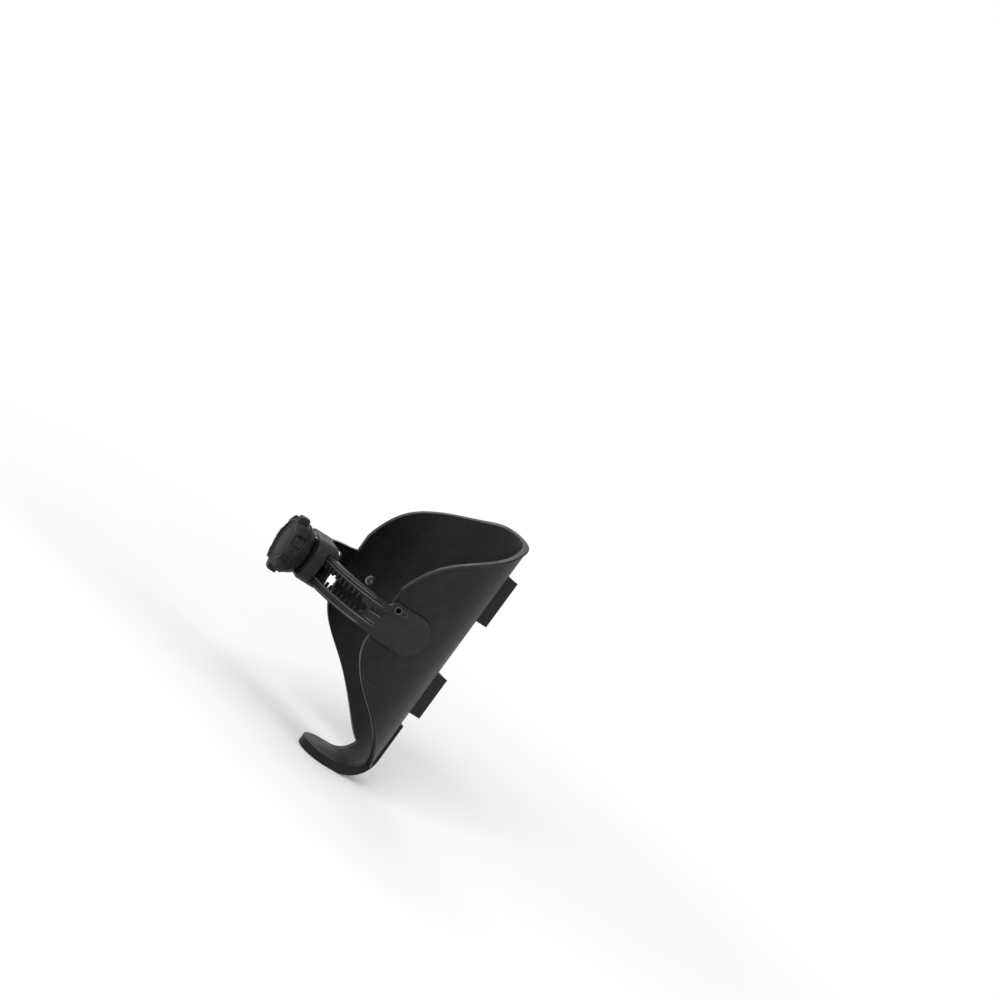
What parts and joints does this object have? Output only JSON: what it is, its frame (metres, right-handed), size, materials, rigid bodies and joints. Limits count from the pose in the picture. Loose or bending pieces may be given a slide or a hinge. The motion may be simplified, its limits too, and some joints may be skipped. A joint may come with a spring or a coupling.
{
  "type": "adjustable bottle cage",
  "caption": "Black moulded bottle cage for a bicycle frame, with a wrap-around cradle, toothed straps and a knob that tightens them round the bottle.",
  "frame": {"origin": "midway between the two mounting bolts, on the line where the pads meet the frame tube", "axes": "+Z along the bottle towards its neck, +X from the frame tube towards the knob, +Y towards the near wing"},
  "size_m": [0.1149, 0.0912, 0.1532],
  "materials": {
    "cradle_plastic": "satin moulded black plastic",
    "strap_plastic": "satin flexible black plastic",
    "housing_plastic": "fine-grained black plastic",
    "knob_plastic": "grained black plastic",
    "pinion_plastic": "smooth black plastic",
    "washer_plastic": "smooth natural plastic",
    "pad_rubber": "matt black rubber",
    "rivet_steel": "plain zinc-plated steel",
    "screw_steel": "plain steel",
    "spring_steel": "spring steel strip"
  },
  "bodies": {
    "cage": {"cage_body": "cradle_plastic", "upper_tube_pad": "pad_rubber", "lower_tube_pad": "pad_rubber", "near_strap_rivet": "rivet_steel", "far_strap_rivet": "rivet_steel"},
    "adjuster": {"adjuster_housing": "housing_plastic", "adjuster_back_plate": "housing_plastic", "detent_spring": "spring_steel", "knob_washer": "washer_plastic", "upper_near_plate_screw": "screw_steel", "upper_far_plate_screw": "screw_steel", "lower_near_plate_screw": "screw_steel", "lower_far_plate_screw": "screw_steel"},
    "knob": {"drive_pinion": "pinion_plastic", "knob_body": "knob_plastic", "knob_screw": "screw_steel", "knob_cap": "knob_plastic"},
    "near_band": {"near_strap": "strap_plastic"},
    "far_band": {"far_strap": "strap_plastic"}
  },
  "joints": [
    {"name": "adjuster_travel", "type": "slide", "parent": "cage", "child": "adjuster", "axis": [1, 0, 0], "range_m": [-0.003, 0.006]},
    {"name": "knob_turn", "type": "hinge", "parent": "adjuster", "child": "knob", "pos_m": [0.0973, 0, -0.003], "axis": [1, 0, 0], "range_deg": [-102, 51]},
    {"name": "near_strap_bend", "type": "hinge", "parent": "cage", "child": "near_band", "pos_m": [0.0473, 0.04455, -0.003], "axis": [0, 0, 1], "range_deg": [-3.9, 7.8], "deforming": ["near_strap"]},
    {"name": "far_strap_bend", "type": "hinge", "parent": "cage", "child": "far_band", "pos_m": [0.0473, -0.04455, -0.003], "axis": [0, 0, 1], "range_deg": [-7.8, 3.9], "deforming": ["far_strap"]}
  ],
  "couplings": [
    {"joint": "knob_turn", "follows": "adjuster_travel", "rad_per_m": -296},
    {"joint": "near_strap_bend", "follows": "adjuster_travel", "rad_per_m": 22.447},
    {"joint": "far_strap_bend", "follows": "adjuster_travel", "rad_per_m": -22.447}
  ]
}
